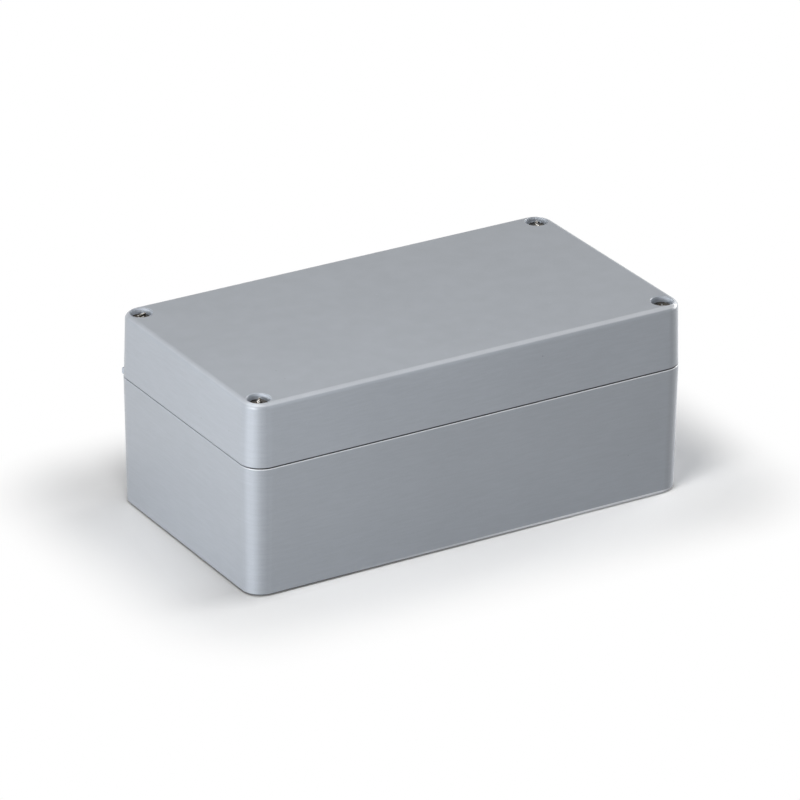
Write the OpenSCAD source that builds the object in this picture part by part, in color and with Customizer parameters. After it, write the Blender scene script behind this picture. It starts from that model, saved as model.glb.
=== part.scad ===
// Die cast aluminium enclosure with a lift-off lid, captive lid screws, a cord seal in a
// groove, wall-fixing channels outside the seal and earth terminals in both castings.
// Millimetres. +Z is up, the length lies along X and the origin is the middle of the underside.

/* [Castings] */
// Outside length at the seam
length = 220; // [190:5:300]
// Outside width at the seam
width = 120; // [110:5:200]
// Height of the base, from the underside to the seam
base_height = 60.5; // [45:0.5:90]
// Height of the lid, from the seam to the top
lid_height = 29.5; // [26:0.5:50]
// Radius of the upright outer corners at the seam
corner_r = 10; // [9:0.5:13]
// How far each side of the base leans in from the seam down to the foot of its walls
base_taper = 0.9; // [0.4:0.1:1.4]
// How far each side of the lid leans in from its rim up to the top
lid_taper = 0.85; // [0.4:0.05:1.4]
// How far the lid's rim stands back from the base's rim, on every side
lid_set_back = 0.15; // [0:0.05:0.4]
// Radius round the foot of the base's walls
foot_edge_r = 0.8; // [0.4:0.1:2]
// Height of the shadow line between the foot of the walls and the ground
foot_gap = 0.5; // [0.3:0.1:1]
// How far the flat underside stands back from the foot of the walls
foot_set_back = 1.6; // [1:0.1:2.5]
// Radius round the top of the lid
top_edge_r = 2.6; // [1.5:0.1:3.2]
// Radius round the base's rim
rim_edge_r = 0.45; // [0.2:0.05:0.8]
// Radius round the lid's rim
lid_rim_edge_r = 0.2; // [0.15:0.05:0.8]

/* [Walls] */
// Thickness of the base's side walls at the seam
base_wall = 4.2; // [3.8:0.1:6]
// Thickness of the floor
floor_t = 3.5; // [3:0.1:6]
// Thickness of the lid's roof
roof_t = 3.5; // [3:0.1:6]
// How much the inner walls lean, in millimetres for each millimetre of depth
draft = 0.014; // [0.005:0.001:0.02]
// Radius of the upright inner corners at the base's rim
inner_corner_r = 5; // [4.6:0.1:7]
// Radius where the walls meet the floor
floor_edge_r = 2; // [1:0.1:2]
// Radius where the lid's walls meet its roof
roof_edge_r = 1.2; // [0.6:0.1:1.3]

/* [Seam and seal] */
// Height of the shadow line between the two rims
seam_gap = 0.25; // [0.1:0.05:0.8]
// How deep the shadow line runs in from the outside
seam_depth = 1.2; // [0.6:0.1:1.4]
// Width of the tongue that stands on the base's rim
tongue_w = 1.8; // [1.4:0.1:2]
// Height of the tongue above the seam
tongue_h = 1.6; // [1:0.1:2.4]
// How far the tongue stands back from the base's inner wall
tongue_set_back = 0.1; // [0.1:0.05:0.4]
// Free space on each side of the tongue in the lid's groove
groove_gap = 0.5; // [0.3:0.05:0.6]
// Thickness of the lip between the groove and the lid's hollow
groove_lip = 1.5; // [1.2:0.1:2]
// Height of the seal in the groove
seal_h = 2.5; // [1.5:0.1:4]
// Free space on each side of the seal
seal_gap = 0.1; // [0.05:0.05:0.3]

/* [Corner blocks] */
// Length of a corner block along X, from the outside
block_length = 17.5; // [17:0.5:22]
// Width of a corner block along Y, from the outside
block_width = 28.5; // [28:0.5:32]
// Radius of a corner block's upright edge at the base's rim
block_edge_r = 5; // [3.6:0.1:6]

/* [Lid screws] */
// Distance of a screw's axis from both outer faces
screw_inset = 8.5; // [8.2:0.1:9.5]
// Diameter of the recess that holds the head
recess_d = 10.2; // [9.4:0.1:10.6]
// Radius round the mouth of the recess
recess_edge_r = 0.4; // [0.2:0.05:0.8]
// How far the top of the head lies below the lid's top
head_sink = 2; // [1:0.1:4]
// Diameter of the head
head_d = 8.6; // [7.5:0.1:9]
// Height of the head
head_h = 3.4; // [2.8:0.1:4]
// Radius round the top of the head
head_edge_r = 0.7; // [0.3:0.1:1]
// Outer diameter of the thread
thread_d = 5; // [4:0.5:5]
// Pitch of the thread
thread_pitch = 0.8; // [0.7:0.05:1]
// Turns from tight to free of the base
screw_turns = 11; // [8:1:13]
// Diameter of the neck between the head and the thread
neck_d = 4; // [3:0.1:4]
// Diameter of the clearance hole through the lid
clearance_d = 5.6; // [5.4:0.1:6]
// Depth of the threaded hole past the tip of the screw
hole_past_tip = 4; // [2:0.5:8]
// Outer width of the cross recess in a screw head
cross_w = 4.6; // [3.6:0.1:5]
// Width of each slot of the cross recess
cross_slot = 0.9; // [0.6:0.1:1.2]
// Depth of the cross recess
cross_depth = 2; // [1:0.1:2.4]

/* [Retaining rings] */
// Outer diameter of the ring on each screw's neck
ring_d = 8; // [7:0.1:8.2]
// Thickness of the ring
ring_t = 1.4; // [1:0.1:2]
// Height of the ring above the base's rim when the screw is tight
ring_lift = 0.3; // [0.2:0.1:1]
// Free space around the ring in its pocket under the lid
ring_gap = 0.5; // [0.3:0.1:0.6]
// Radial clearance of a thread in its hole and of a neck in its ring
fit_gap = 0.05; // [0.02:0.01:0.1]

/* [Wall fixing] */
// Distance of a fixing hole's axis from the end of the box
fixing_inset_x = 8; // [8:0.1:8.4]
// Distance of a fixing hole's axis from the side of the box
fixing_inset_y = 19; // [18.5:0.1:19.5]
// Diameter of a fixing hole
fixing_hole_d = 6.4; // [4.2:0.1:6.6]
// Diameter of the channel that leads down to a fixing hole
channel_d = 10.4; // [9:0.1:10.6]
// Thickness of the ledge at the bottom of a channel
ledge_t = 6; // [3:0.5:12]

/* [Floor bosses] */
// Distance of a boss's axis from the end of the box
boss_inset_x = 28; // [26:0.5:50]
// Distance of a boss's axis from the side of the box
boss_inset_y = 16; // [14:0.5:24]
// Diameter at the top of a boss
boss_d = 9; // [7.5:0.1:11]
// Height of a boss above the floor
boss_h = 6; // [3:0.5:12]
// Diameter of the threaded hole in a boss
boss_hole_d = 3.3; // [2.5:0.1:4.2]
// Depth of the threaded hole in a boss
boss_hole_depth = 8; // [4:0.5:8]

/* [Earth terminals] */
// Distance of an earth screw from the middle of the box, along X
earth_x = 50; // [30:1:60]
// Distance of an earth screw from the side of the box
earth_inset_y = 17; // [15:0.5:24]
// Diameter at the top of an earth boss
earth_boss_d = 11; // [10:0.1:13]
// Height of an earth boss
earth_boss_h = 8; // [5:0.5:10]
// Length of an earth screw below its head
earth_screw_l = 10; // [8:0.5:12]
// Diameter of the flat washer
washer_d = 10; // [9:0.1:11]
// Thickness of the flat washer
washer_t = 1; // [0.8:0.1:1.6]
// Outer diameter of the spring washer
spring_d = 8.4; // [8:0.1:9]
// Thickness of the spring washer
spring_t = 1.2; // [0.8:0.1:1.6]
// Width of the split in the spring washer
spring_split = 0.8; // [0.4:0.1:1.5]

/* [Casting mark] */
// Height of the small trim mark left on the lid's rim at one corner
mark_h = 3.2; // [1:0.1:4]
// How far the mark stands proud of the lid's corner
mark_proud = 0.8; // [0.2:0.1:1]
// Direction of the mark from the corner's centre, in degrees
mark_angle = 149; // [100:1:170]

/* [Hidden] */
$fn = 64;
// Each corner's name, its signs of X and Y, and how its screw's cross is turned when tight
CORNERS = [["front_left", -1, -1, 20], ["front_right", 1, -1, 65],
           ["back_left", -1, 1, 40], ["back_right", 1, 1, 5]];

paint_grey = [0.66, 0.68, 0.70];
steel = [0.72, 0.72, 0.70];
seal_grey = [0.20, 0.20, 0.21];
nylon = [0.86, 0.85, 0.80];

half_l = length / 2;
half_w = width / 2;
seam_z = base_height;
top_z = base_height + lid_height;
cut = 1; // how far a cutter runs past the face it opens

// Half sizes of the base's hollow at the rim: between the walls, and between the corner blocks
wall_x = half_l - base_wall;
wall_y = half_w - base_wall;
block_x = half_l - block_length;
block_y = half_w - block_width;

// The groove's two edges and the lid hollow's edge, as offsets from the base's inner wall
groove_out = tongue_set_back + tongue_w + groove_gap;
groove_in = tongue_set_back - groove_gap;
hollow_edge = groove_in - groove_lip;
groove_depth = tongue_h + seal_h;

screw_x = half_l - screw_inset;
screw_y = half_w - screw_inset;
seat_z = top_z - head_sink - head_h;
screw_travel = screw_turns * thread_pitch;
tip_clear = 0.3; // how far the tip stands above the seam when the screw is free
tip_z = seam_z - screw_travel + tip_clear;
tip_chamfer = 0.8;
ring_z = seam_z + ring_lift;
ring_stop_gap = 0.1; // between the raised ring and the roof of its pocket
ring_pocket_d = ring_d + 2 * ring_gap;
ring_pocket_h = ring_lift + ring_t + screw_travel + ring_stop_gap;

fixing_x = half_l - fixing_inset_x;
fixing_y = half_w - fixing_inset_y;
channel_roof = 6; // lid metal left above a channel

boss_x = half_l - boss_inset_x;
boss_y = half_w - boss_inset_y;
boss_draft = 0.5; // how much wider a boss is at its foot, on each side
earth_y = -(half_w - earth_inset_y);
earth_hole_past_tip = 1;

// ---------------------------------------------------------------- shapes shared by both castings

// Half section of a leaning wall: r0 wide at the bottom, r1 at the top, with rounded edges
module wall_section(h, r0, r1, edge0, edge1) {
    lean = (r1 - r0) / h;
    s = sqrt(1 + lean * lean);
    c0 = r0 + lean * edge0 - edge0 * s;
    c1 = r0 + lean * (h - edge1) - edge1 * s;
    bottom = edge0 > 0 ? [[c0, 0], [c0 + edge0 / s, edge0 - lean * edge0 / s]] : [[r0, 0]];
    top = edge1 > 0 ? [[c1 + edge1 / s, h - edge1 - lean * edge1 / s], [c1, h]] : [[r1, h]];
    polygon(concat([[0, 0]], bottom, top, [[0, h]]));
    if (edge0 > 0) translate([c0, edge0]) circle(edge0);
    if (edge1 > 0) translate([c1, h - edge1]) circle(edge1);
}

// Block with leaning sides and round upright corners. The corners' centres are at cx and cy,
// and their radius grows or shrinks from r0 at the bottom to r1 at the top.
module leaning_block(cx, cy, h, r0, r1, edge0, edge1) {
    translate([-cx, -cy, 0]) cube([2 * cx, 2 * cy, h]);
    for (s = [-1, 1]) {
        translate([-s * cx, s * cy, 0]) rotate([90, 0, 90 * s])
            linear_extrude(2 * cx) wall_section(h, r0, r1, edge0, edge1);
        translate([s * cx, s * cy, 0]) rotate([90, 0, 90 - 90 * s])
            linear_extrude(2 * cy) wall_section(h, r0, r1, edge0, edge1);
    }
    for (turn = [0, 90, 180, 270])
        translate([sign(cos(turn + 45)) * cx, sign(sin(turn + 45)) * cy, 0]) rotate([0, 0, turn])
            rotate_extrude(angle = 90) wall_section(h, r0, r1, edge0, edge1);
}

// Upright round edge of a corner block inside a hollow, with a flared foot
module block_edge(h, r0, foot_r) {
    s = sqrt(1 + draft * draft);
    c = r0 - draft * foot_r + foot_r * s;
    reach = c + 1;
    difference() {
        translate([-reach, -reach, 0]) cube([reach, reach, h]);
        rotate([0, 0, 180]) rotate_extrude(angle = 90) difference() {
            polygon([[0, 0], [c, 0], [c - foot_r / s, foot_r - draft * foot_r / s],
                     [r0 - draft * h, h], [0, h]]);
            translate([c, foot_r]) circle(foot_r);
        }
    }
}

// The cross-shaped hollow of a casting, floor at z = 0 and mouth at z = depth, running on past
// the mouth. offset_out moves its walls outwards from those of the base at the mouth.
module hollow(depth, offset_out, foot_r) {
    h = depth + cut;
    corner = inner_corner_r + offset_out;
    edge = block_edge_r - offset_out;
    r0 = corner - draft * depth;
    r1 = corner + draft * cut;
    foot = min(foot_r, 0.48 * r0); // the corners have room for no more
    leaning_block(block_x + offset_out - corner, wall_y + offset_out - corner, h, r0, r1, foot, 0);
    leaning_block(wall_x + offset_out - corner, block_y + offset_out - corner, h, r0, r1, foot, 0);
    for (s = [-1, 1], t = [-1, 1])
        translate([s * (block_x + offset_out + edge), t * (block_y + offset_out + edge), 0])
            mirror([s < 0 ? 1 : 0, 0, 0]) mirror([0, t < 0 ? 1 : 0, 0])
                block_edge(h, edge + draft * depth, foot);
}

module round_rect(hx, hy, r) {
    square([2 * hx, 2 * (hy - r)], center = true);
    square([2 * (hx - r), 2 * hy], center = true);
    for (s = [-1, 1], t = [-1, 1])
        translate([s * (hx - r), t * (hy - r)]) circle(r);
}

// Outline of the base's hollow at the rim, moved outwards by offset_out
module seal_line(offset_out) {
    corner = inner_corner_r + offset_out;
    edge = block_edge_r - offset_out;
    round_rect(block_x + offset_out, wall_y + offset_out, corner);
    round_rect(wall_x + offset_out, block_y + offset_out, corner);
    for (s = [-1, 1], t = [-1, 1])
        scale([s, t]) translate([block_x + offset_out, block_y + offset_out])
            difference() {
                translate([-1, -1]) square(edge + 1);
                translate([edge, edge]) circle(edge);
            }
}

module seal_band(outer, inner) {
    difference() {
        seal_line(outer);
        seal_line(inner);
    }
}

module at_corners(x, y) {
    for (c = CORNERS)
        translate([c[1] * x, c[2] * y, 0]) children();
}

// ---------------------------------------------------------------------------------- the castings

module base() {
    foot_r = corner_r - base_taper;
    color(paint_grey) difference() {
        union() {
            difference() {
                union() {
                    translate([0, 0, foot_gap])
                        leaning_block(half_l - corner_r, half_w - corner_r, base_height - foot_gap,
                                      foot_r, corner_r, foot_edge_r, rim_edge_r);
                    linear_extrude(foot_gap + cut)
                        round_rect(half_l - corner_r + foot_r - foot_set_back,
                                   half_w - corner_r + foot_r - foot_set_back,
                                   foot_r - foot_set_back);
                }
                translate([0, 0, floor_t]) hollow(base_height - floor_t, 0, floor_edge_r);
            }
            translate([0, 0, seam_z - cut]) linear_extrude(cut + tongue_h)
                seal_band(tongue_set_back + tongue_w, tongue_set_back);
            at_corners(boss_x, boss_y) boss(floor_t, boss_h, boss_d);
            translate([-earth_x, earth_y, 0]) boss(floor_t, earth_boss_h, earth_boss_d);
        }
        at_corners(screw_x, screw_y) translate([0, 0, tip_z - hole_past_tip])
            cylinder(h = base_height, d = thread_d + 2 * fit_gap);
        at_corners(fixing_x, fixing_y) {
            translate([0, 0, ledge_t]) cylinder(h = base_height, d = channel_d);
            translate([0, 0, -cut]) cylinder(h = base_height, d = fixing_hole_d);
        }
        at_corners(boss_x, boss_y) translate([0, 0, floor_t + boss_h - boss_hole_depth])
            cylinder(h = boss_hole_depth + cut, d = boss_hole_d);
        translate([-earth_x, earth_y, floor_t + earth_boss_h]) earth_hole();
    }
}

// Boss standing on a floor of thickness t
module boss(t, h, d) {
    foot = t / 2;
    translate([0, 0, foot]) cylinder(h = t - foot + h, d1 = d + 2 * boss_draft, d2 = d);
}

module earth_hole() {
    depth = earth_screw_l - washer_t - spring_t + earth_hole_past_tip;
    translate([0, 0, -depth]) cylinder(h = depth + cut, d = thread_d + 2 * fit_gap);
}

module lid() {
    rim_z = seam_z + seam_gap;
    rim_r = corner_r - lid_set_back;
    color(paint_grey) difference() {
        union() {
            difference() {
                union() {
                    translate([0, 0, rim_z])
                        leaning_block(half_l - corner_r, half_w - corner_r, lid_height - seam_gap,
                                      rim_r, rim_r - lid_taper, lid_rim_edge_r, top_edge_r);
                    translate([0, 0, seam_z]) linear_extrude(seam_gap + cut)
                        round_rect(half_l - seam_depth, half_w - seam_depth, corner_r - seam_depth);
                }
                translate([0, 0, top_z - roof_t]) mirror([0, 0, 1])
                    hollow(lid_height - roof_t, hollow_edge, roof_edge_r);
            }
            translate([earth_x, earth_y, top_z]) mirror([0, 0, 1])
                boss(roof_t, earth_boss_h, earth_boss_d);
            casting_mark(rim_z);
        }
        translate([0, 0, seam_z - cut]) linear_extrude(cut + groove_depth)
            seal_band(groove_out, groove_in);
        at_corners(screw_x, screw_y) screw_way();
        at_corners(fixing_x, fixing_y) translate([0, 0, seam_z - cut])
            cylinder(h = cut + lid_height - channel_roof, d = channel_d);
        translate([earth_x, earth_y, top_z - roof_t - earth_boss_h]) mirror([0, 0, 1]) earth_hole();
    }
}

// Everything that is cut through the lid for one screw: head recess, clearance hole, ring pocket
module screw_way() {
    translate([0, 0, seat_z]) cylinder(h = top_z - seat_z + cut, d = recess_d);
    translate([0, 0, top_z - recess_edge_r]) rotate_extrude() difference() {
        square([recess_d / 2 + recess_edge_r, recess_edge_r + cut]);
        translate([recess_d / 2 + recess_edge_r, 0]) circle(recess_edge_r);
    }
    translate([0, 0, seam_z - cut]) cylinder(h = base_height, d = clearance_d);
    translate([0, 0, seam_z - cut]) cylinder(h = cut + ring_pocket_h, d = ring_pocket_d);
}

// Small upright witness on the rim where the casting was trimmed
module casting_mark(rim_z) {
    r = mark_h / 4;
    translate([-(half_l - corner_r), half_w - corner_r, rim_z + lid_rim_edge_r])
        rotate([0, 0, mark_angle]) translate([corner_r - lid_set_back + mark_proud - r, 0, 0]) {
            translate([0, 0, r]) cylinder(h = mark_h - 2 * r, r = r);
            translate([0, 0, r]) sphere(r);
            translate([0, 0, mark_h - r]) sphere(r);
        }
}

// --------------------------------------------------------------------------- seal and fasteners

module lid_seal() {
    color(seal_grey) translate([0, 0, seam_z + groove_depth - seal_h]) linear_extrude(seal_h)
        seal_band(groove_out - seal_gap, groove_in + seal_gap);
}

// Screw head with its underside at z = 0
module cross_head(d, h, edge_r) {
    difference() {
        rotate_extrude() {
            square([d / 2 - edge_r, h]);
            square([d / 2, h - edge_r]);
            translate([d / 2 - edge_r, h - edge_r]) circle(edge_r);
        }
        for (a = [0, 90]) rotate([0, 0, a]) translate([0, 0, h - cross_depth])
            translate([-cross_w / 2, -cross_slot / 2, 0]) cube([cross_w, cross_slot, cross_depth + cut]);
        translate([0, 0, h - cross_depth]) cylinder(h = cross_depth + cut, d1 = cross_slot, d2 = cross_w / 2);
    }
}

module lid_screw(sx, sy, turn) {
    color(steel) translate([sx * screw_x, sy * screw_y, 0]) {
        translate([0, 0, seat_z]) rotate([0, 0, turn]) cross_head(head_d, head_h, head_edge_r);
        translate([0, 0, ring_z]) cylinder(h = seat_z - ring_z, d = neck_d);
        translate([0, 0, tip_z + tip_chamfer]) cylinder(h = ring_z - tip_z - tip_chamfer, d = thread_d);
        translate([0, 0, tip_z])
            cylinder(h = tip_chamfer, d1 = thread_d - 2 * tip_chamfer, d2 = thread_d);
    }
}

module retaining_ring(sx, sy) {
    color(nylon) translate([sx * screw_x, sy * screw_y, ring_z]) difference() {
        cylinder(h = ring_t, d = ring_d);
        translate([0, 0, -cut]) cylinder(h = ring_t + 2 * cut, d = neck_d + 2 * fit_gap);
    }
}

// Places an earth terminal piece with z = 0 on top of its boss, in the base or in the lid
module earth_place(in_lid) {
    if (in_lid)
        translate([earth_x, earth_y, top_z - roof_t - earth_boss_h]) mirror([0, 0, 1]) children();
    else
        translate([-earth_x, earth_y, floor_t + earth_boss_h]) children();
}

module earth_screw(in_lid) {
    stack = washer_t + spring_t;
    color(steel) earth_place(in_lid) {
        translate([0, 0, stack]) cross_head(head_d, head_h, head_edge_r);
        translate([0, 0, stack - earth_screw_l + tip_chamfer])
            cylinder(h = earth_screw_l - tip_chamfer, d = thread_d);
        translate([0, 0, stack - earth_screw_l])
            cylinder(h = tip_chamfer, d1 = thread_d - 2 * tip_chamfer, d2 = thread_d);
    }
}

module flat_washer(in_lid) {
    color(steel) earth_place(in_lid) difference() {
        cylinder(h = washer_t, d = washer_d);
        translate([0, 0, -cut]) cylinder(h = washer_t + 2 * cut, d = thread_d + 4 * fit_gap);
    }
}

module spring_washer(in_lid) {
    color(steel) earth_place(in_lid) translate([0, 0, washer_t]) difference() {
        cylinder(h = spring_t, d = spring_d);
        translate([0, 0, -cut]) cylinder(h = spring_t + 2 * cut, d = thread_d + 4 * fit_gap);
        translate([0, -spring_split / 2, -cut]) cube([spring_d, spring_split, spring_t + 2 * cut]);
    }
}

base();
lid();
lid_seal();
for (c = CORNERS) {
    lid_screw(c[1], c[2], c[3]);
    retaining_ring(c[1], c[2]);
}
earth_screw(false);  // base_earth_screw
spring_washer(false);  // base_earth_spring_washer
flat_washer(false);  // base_earth_washer
earth_screw(true);  // lid_earth_screw
spring_washer(true);  // lid_earth_spring_washer
flat_washer(true);  // lid_earth_washer
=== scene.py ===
"""Dresses a die cast aluminium enclosure and sets it on a plain stage.

The castings get their powder coat, and the screws, rings, washers and seal get their turned and
moulded detail and their own finishes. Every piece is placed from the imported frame, in metres.
"""

import math
from types import SimpleNamespace

import bmesh
import bpy
from bpy.props import FloatProperty, FloatVectorProperty, IntProperty, PointerProperty
from mathutils import Matrix, Vector


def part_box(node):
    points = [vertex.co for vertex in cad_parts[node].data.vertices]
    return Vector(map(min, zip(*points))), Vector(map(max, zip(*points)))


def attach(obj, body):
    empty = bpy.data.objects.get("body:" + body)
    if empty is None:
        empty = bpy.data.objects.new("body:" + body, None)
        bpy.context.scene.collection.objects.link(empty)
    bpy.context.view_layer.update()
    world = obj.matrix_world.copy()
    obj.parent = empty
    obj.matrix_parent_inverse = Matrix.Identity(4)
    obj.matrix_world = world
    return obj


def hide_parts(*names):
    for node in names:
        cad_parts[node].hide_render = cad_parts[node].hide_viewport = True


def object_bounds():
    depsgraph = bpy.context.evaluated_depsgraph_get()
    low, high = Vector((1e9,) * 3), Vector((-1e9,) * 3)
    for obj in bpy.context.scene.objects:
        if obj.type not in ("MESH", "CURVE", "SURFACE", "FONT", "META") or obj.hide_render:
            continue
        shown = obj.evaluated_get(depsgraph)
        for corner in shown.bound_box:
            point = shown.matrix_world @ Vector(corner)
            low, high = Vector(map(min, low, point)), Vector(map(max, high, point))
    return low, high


bl_info = {
    "name": "Die Cast Enclosure Finish",
    "version": (1, 0, 0),
    "blender": (4, 5, 0),
    "location": "View3D > Sidebar > Enclosure",
    "description": "Coats a die cast enclosure, fits its fasteners and seal, and lights it",
    "category": "Object",
}

MM = 0.001

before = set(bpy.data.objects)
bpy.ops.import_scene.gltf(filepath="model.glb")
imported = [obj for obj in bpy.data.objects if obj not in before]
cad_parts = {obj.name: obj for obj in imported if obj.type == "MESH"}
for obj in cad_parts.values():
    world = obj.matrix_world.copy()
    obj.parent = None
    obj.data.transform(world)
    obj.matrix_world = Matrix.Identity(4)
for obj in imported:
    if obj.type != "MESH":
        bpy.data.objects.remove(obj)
CAD_BOX = [list(corner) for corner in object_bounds()]
TOP = CAD_BOX[1][2]
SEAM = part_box("lid")[0].z
CORNER_RADIUS = 10 * MM
CORNER_AXIS = [side - CORNER_RADIUS for side in CAD_BOX[1][:2]]

CASTINGS = ("base", "lid")
# Each lid screw's corner, with the turn of its cross in degrees
CORNERS = {"front_left": 52, "front_right": 80, "back_left": 16, "back_right": 55}
TERMINAL_TURN = 0.6  # in radians
TERMINAL_NECK = 0.05 * MM

# Radii of the soft edges
SEAL_EDGE = 0.5 * MM
RING_EDGE = 0.2 * MM
WASHER_EDGE = 0.12 * MM
FLAT_ANGLE = math.radians(0.5)  # faces that bend less count as one
SHARP_ANGLE = math.radians(40)  # edges that bend more are rounded
MERGE_GAP = 0.001 * MM  # corners that lie closer are joined


# ------------------------------------------------------------------------------------- settings


class CoatSettings(bpy.types.PropertyGroup):
    """The powder coat on both castings."""

    colour: FloatVectorProperty(
        name="Colour", description="Colour of the powder coat",
        subtype="COLOR", size=3, min=0, max=1, default=(0.372, 0.404, 0.450),
    )
    # Colour of the painted highlights on the rim, the front's foot and the top edge
    highlight_colour: FloatVectorProperty(
        name="Highlight Colour", description="Colour that shows more where the coat is thin",
        subtype="COLOR", size=3, min=0, max=1, default=(0.41, 0.405, 0.40),
    )
    roughness: FloatProperty(
        name="Roughness", description="Satin of the coat, from glossy to matt",
        subtype="FACTOR", min=0, max=1, default=0.42,
    )
    gloss_weight: FloatProperty(
        name="Gloss Weight", description="Strength of the smoother skin over the coat",
        subtype="FACTOR", min=0, max=1, default=0.5,
    )
    gloss_roughness: FloatProperty(
        name="Gloss Roughness", description="Roughness of the smoother skin",
        subtype="FACTOR", min=0, max=1, default=0.2,
    )
    peel_size: FloatProperty(
        name="Peel Size", description="Distance between the soft bumps left by the baked powder",
        subtype="DISTANCE", unit="LENGTH", min=0.1 * MM, default=1.6 * MM,
    )
    peel_depth: FloatProperty(
        name="Peel Depth", description="Height of the soft bumps",
        subtype="DISTANCE", unit="LENGTH", min=0, precision=5, default=0.012 * MM,
    )
    grain_size: FloatProperty(
        name="Grain Size", description="Size of the fine grain in the coat",
        subtype="DISTANCE", unit="LENGTH", min=0.05 * MM, default=0.35 * MM,
    )
    # Painted shade: how dark the seam between lid and base is painted on the sides
    painted_seam_shade: FloatProperty(
        name="Painted Seam Shade", description="How dark the dirt in the seam is",
        subtype="FACTOR", min=0, max=1, default=0.16,
    )
    # Painted shade: how dark the band round the foot is painted
    painted_foot_shade: FloatProperty(
        name="Painted Foot Shade", description="How dark the dirt round the foot is",
        subtype="FACTOR", min=0, max=1, default=0.9,
    )
    # Painted highlight: how much lighter the base's rim is painted below the seam, most of all in
    # front
    painted_rim_highlight: FloatProperty(
        name="Painted Rim Highlight", description="How much lighter the thin coat is along the front rim",
        subtype="FACTOR", min=0, max=1, default=0.75,
    )
    # Painted highlight: how much lighter the lid's top edge is painted, most of all in front
    painted_edge_highlight: FloatProperty(
        name="Painted Edge Highlight", description="How much lighter the coat is on the lid's front top edge",
        subtype="FACTOR", min=0, max=1, default=0.42,
    )
    # Painted highlight: how much lighter the upright corners are painted
    painted_corner_highlight: FloatProperty(
        name="Painted Corner Highlight", description="How much lighter the coat is on the upright corners",
        subtype="FACTOR", min=0, max=1, default=0.18,
    )
    # Painted shade: how much darker the coat is painted beside the corners' painted highlight
    painted_corner_shade: FloatProperty(
        name="Painted Corner Shade", description="How much darker the coat is beside the worn corners",
        subtype="FACTOR", min=0, max=1, default=0.12,
    )
    # Painted light: how much lighter the screw recesses are painted than the coat
    painted_recess_light: FloatProperty(
        name="Painted Recess Light", description="How much lighter the screw recesses are than the coat",
        subtype="FACTOR", min=0, max=1, default=0.9,
    )
    speck_spacing: FloatProperty(
        name="Speck Spacing", description="Usual distance between specks of stray powder",
        subtype="DISTANCE", unit="LENGTH", min=1 * MM, default=9 * MM,
    )


class ScrewSettings(bpy.types.PropertyGroup):
    """The forms of the cross-headed screws."""

    head_height: FloatProperty(
        name="Head Height", description="Height of a screw's head",
        subtype="DISTANCE", unit="LENGTH", min=1 * MM, default=3.4 * MM,
    )
    head_rounding: FloatProperty(
        name="Head Rounding", description="Radius round the top of the head",
        subtype="DISTANCE", unit="LENGTH", min=0.1 * MM, default=0.9 * MM,
    )
    neck_diameter: FloatProperty(
        name="Neck Diameter", description="Diameter of the plain neck under a captive head",
        subtype="DISTANCE", unit="LENGTH", min=1 * MM, default=4 * MM,
    )
    thread_diameter: FloatProperty(
        name="Thread Diameter", description="Outer diameter of the thread",
        subtype="DISTANCE", unit="LENGTH", min=1 * MM, default=5 * MM,
    )
    pitch: FloatProperty(
        name="Pitch", description="Rise of the thread in one turn",
        subtype="DISTANCE", unit="LENGTH", min=0.2 * MM, default=0.8 * MM,
    )
    lid_thread_length: FloatProperty(
        name="Lid Thread Length", description="Length of a lid screw's thread with its tip",
        subtype="DISTANCE", unit="LENGTH", min=1 * MM, default=8.8 * MM,
    )
    tip_chamfer: FloatProperty(
        name="Tip Chamfer", description="Chamfer at the end of a screw",
        subtype="DISTANCE", unit="LENGTH", min=0.1 * MM, default=0.8 * MM,
    )
    cross_width: FloatProperty(
        name="Cross Width", description="Width across the cross recess",
        subtype="DISTANCE", unit="LENGTH", min=1 * MM, default=4.8 * MM,
    )
    wing_width: FloatProperty(
        name="Wing Width", description="Width of each wing of the cross recess",
        subtype="DISTANCE", unit="LENGTH", min=0.2 * MM, default=1.0 * MM,
    )
    cross_depth: FloatProperty(
        name="Cross Depth", description="Depth of the cross recess",
        subtype="DISTANCE", unit="LENGTH", min=0.5 * MM, default=2.2 * MM,
    )
    sides: IntProperty(
        name="Sides", description="Facets round a screw", min=12, max=96, default=48,
    )


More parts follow.
